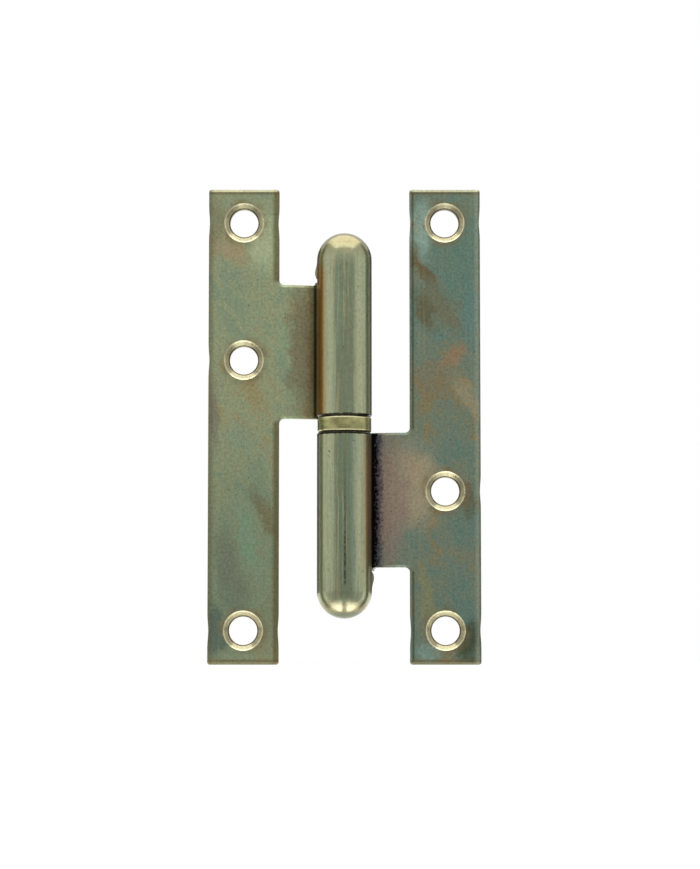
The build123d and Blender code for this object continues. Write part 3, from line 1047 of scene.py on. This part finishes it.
class HINGE_OT_stage(bpy.types.Operator):
    """Set up the camera, the pale floor and the studio light"""

    bl_idname = "hinge.stage"
    bl_label = "Stage"

    def execute(self, context):
        settings = context.scene.hinge_stage
        scene = context.scene
        scene.view_settings.view_transform = "Standard"

        lens = bpy.data.cameras.new("Camera")
        lens.lens, lens.sensor_width = settings.lens, 36.0
        lens.clip_start, lens.clip_end = NEAREST_SEEN, FARTHEST_SEEN
        camera = bpy.data.objects.new("Camera", lens)
        scene.collection.objects.link(camera)
        camera.location = (
            0, -settings.camera_distance * math.cos(settings.camera_drop),
            -settings.camera_distance * math.sin(settings.camera_drop))
        camera.rotation_euler = (Vector(AIM) - camera.location).to_track_quat("-Z", "Y").to_euler()
        scene.camera = camera

        # The floor lies just under the leaves' ends, level with the camera, so it shows edge on
        floor_mesh = bpy.data.meshes.new("Floor")
        turns = [math.tau * i / FLOOR_CORNERS for i in range(FLOOR_CORNERS)]
        rim = [(FLOOR_RADIUS * math.cos(t), FLOOR_RADIUS * math.sin(t), FLOOR_HEIGHT) for t in turns]
        floor_mesh.from_pydata(rim, [], [tuple(range(FLOOR_CORNERS))])
        floor = bpy.data.objects.new("Floor", floor_mesh)
        scene.collection.objects.link(floor)
        paper, tree = blank_material("Paper")
        matt = node(tree, "ShaderNodeBsdfDiffuse", {"Color": settings.paper})
        node(tree, "ShaderNodeOutputMaterial", {"Surface": matt})
        floor_mesh.materials.append(paper)

        # White all round for the camera and in reflections, a plain level for diffuse light
        world = bpy.data.worlds.new("Studio")
        scene.world = world
        world.use_nodes = True
        tree = world.node_tree
        tree.nodes.clear()
        ray = node(tree, "ShaderNodeLightPath").outputs
        shown = ray["Is Camera Ray"]
        for kind in ("Is Glossy Ray", "Is Transmission Ray"):
            shown = node(tree, "ShaderNodeMath", {0: shown, 1: ray[kind]}, operation="MAXIMUM")
        white = node(tree, "ShaderNodeBackground", {"Color": (1, 1, 1), "Strength": 1.0})
        plain = node(tree, "ShaderNodeBackground", {"Color": (1, 1, 1), "Strength": ROOM_LEVEL})
        both = node(tree, "ShaderNodeMixShader", {0: shown, 1: plain, 2: white})
        node(tree, "ShaderNodeOutputWorld", {"Surface": both})

        # Grey card behind the camera, dark cards behind and beside the hinge, and a grey one that
        # lies in front of it
        upright_card(
            "Front card", 0.0, FRONT_CARD_SPREAD, FRONT_CARD_TOP, settings.front_level, settings.front_rise)
        for side in (-1, 1):
            upright_card(
                "Side card", side * SIDE_CARD_BEARING, SIDE_CARD_SPREAD, SIDE_CARD_TOP, settings.side_level)
        lying = [(side * FLOOR_CARD_SIDE, y, FLOOR_CARD_HEIGHT) for side, y in (
            (-1, FLOOR_CARD_FRONT), (1, FLOOR_CARD_FRONT), (1, FLOOR_CARD_BACK), (-1, FLOOR_CARD_BACK))]
        card("Floor card", lying, [(0, 1, 2, 3)], CARD_FOOT, settings.floor_level)

        # Bright from above. At the foot two lamps on each side leave a dark strip under the camera's
        # line, the inner ones under the knuckles and the outer ones under the leaves
        lamp("Top lamp", TOP_LAMP_PLACE, TOP_LAMP_SIZE, settings.top_level)
        for side in (-1, 1):
            for (near, far), level in (
                (INNER_FOOT_LAMP, settings.foot_level), (OUTER_FOOT_LAMP, settings.outer_foot_level),
            ):
                place = (side * (near + far) / 2, FOOT_LAMP_Y, FOOT_LAMP_HEIGHT)
                lamp("Foot lamp", place, (far - near, FOOT_LAMP_DEPTH), level, FOOT_LAMP_SPREAD)
        return {"FINISHED"}


GROUPS = {
    "hinge_leaves": HingeLeafSettings,
    "hinge_pin": HingePinSettings,
    "hinge_ring": HingeRingSettings,
    "hinge_stage": HingeStageSettings,
}
OPERATORS = (HINGE_OT_leaves, HINGE_OT_pin, HINGE_OT_ring, HINGE_OT_stage)


class HINGE_PT_panel(bpy.types.Panel):
    """Makes the pieces of the hinge"""

    bl_idname = "HINGE_PT_panel"
    bl_label = "Lift-off Hinge"
    bl_space_type = "VIEW_3D"
    bl_region_type = "UI"
    bl_category = "Hinge"

    def draw(self, context):
        for operator, name in zip(OPERATORS, GROUPS):
            group = getattr(context.scene, name)
            box = self.layout.box()
            for setting in group.bl_rna.properties.keys():
                if setting not in ("rna_type", "name"):
                    box.prop(group, setting)
            box.operator(operator.bl_idname)


CLASSES = (*GROUPS.values(), *OPERATORS, HINGE_PT_panel)


def register():
    for made in CLASSES:
        bpy.utils.register_class(made)
    for name, group in GROUPS.items():
        setattr(bpy.types.Scene, name, PointerProperty(type=group))


def unregister():
    for name in GROUPS:
        delattr(bpy.types.Scene, name)
    for made in reversed(CLASSES):
        bpy.utils.unregister_class(made)


def main():
    register()
    bpy.ops.hinge.leaves()
    bpy.ops.hinge.pin()
    bpy.ops.hinge.ring()
    bpy.ops.hinge.stage()


if __name__ == "__main__":
    main()
